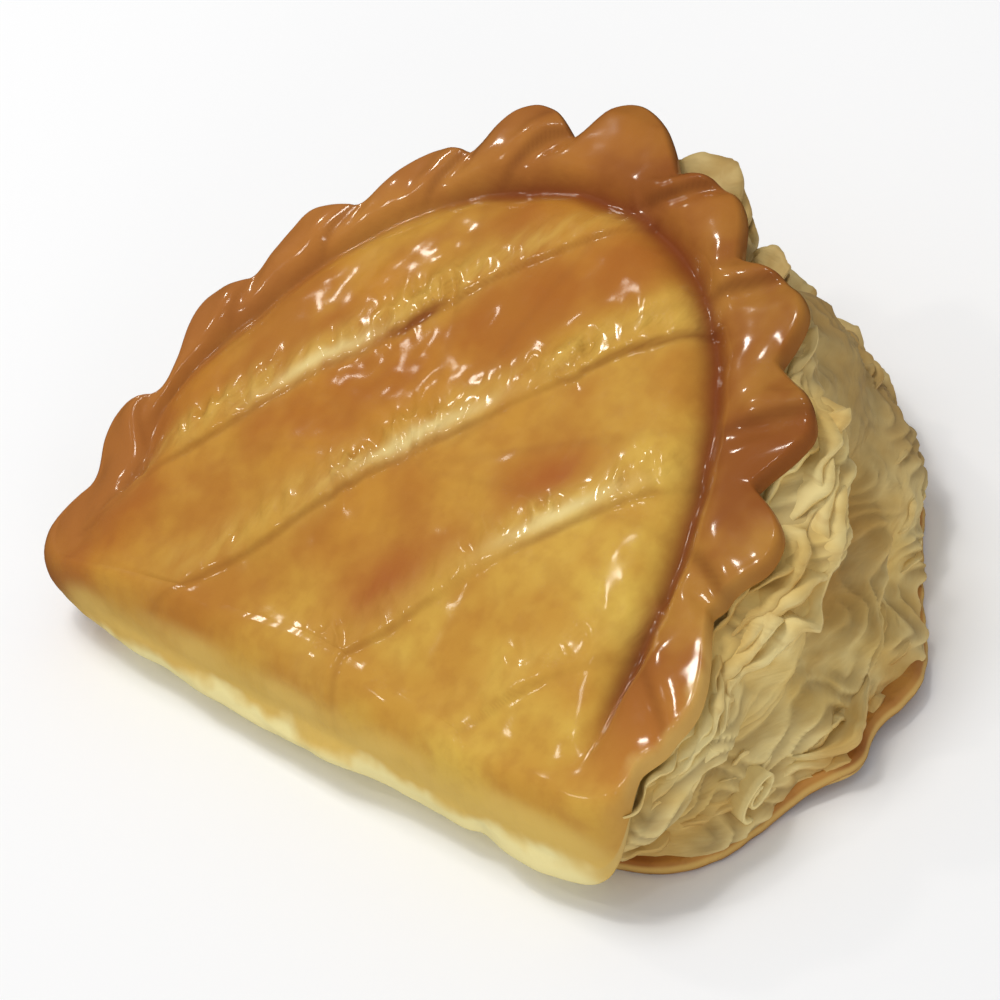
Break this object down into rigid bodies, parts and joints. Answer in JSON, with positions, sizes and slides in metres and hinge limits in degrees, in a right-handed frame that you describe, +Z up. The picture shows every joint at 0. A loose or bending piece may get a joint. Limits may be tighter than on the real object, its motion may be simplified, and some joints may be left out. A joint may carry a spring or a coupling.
{
  "type": "apple turnover",
  "caption": "Half-moon of baked puff pastry folded over a filling, with slashes across its glazed crust and flaky layers along the scalloped open edge.",
  "frame": {"origin": "centre of the pastry's outline, on the surface that it rests on", "axes": "+X along the straight fold, +Y from the fold to the middle of the curved open edge, +Z up"},
  "size_m": [0.1393, 0.0983, 0.0452],
  "materials": {
    "pastry": "egg-glazed golden crust with browned rim, pale dry layers at the open edge and a browned underside"
  },
  "bodies": {
    "root": {"turnover": "pastry"}
  },
  "joints": []
}
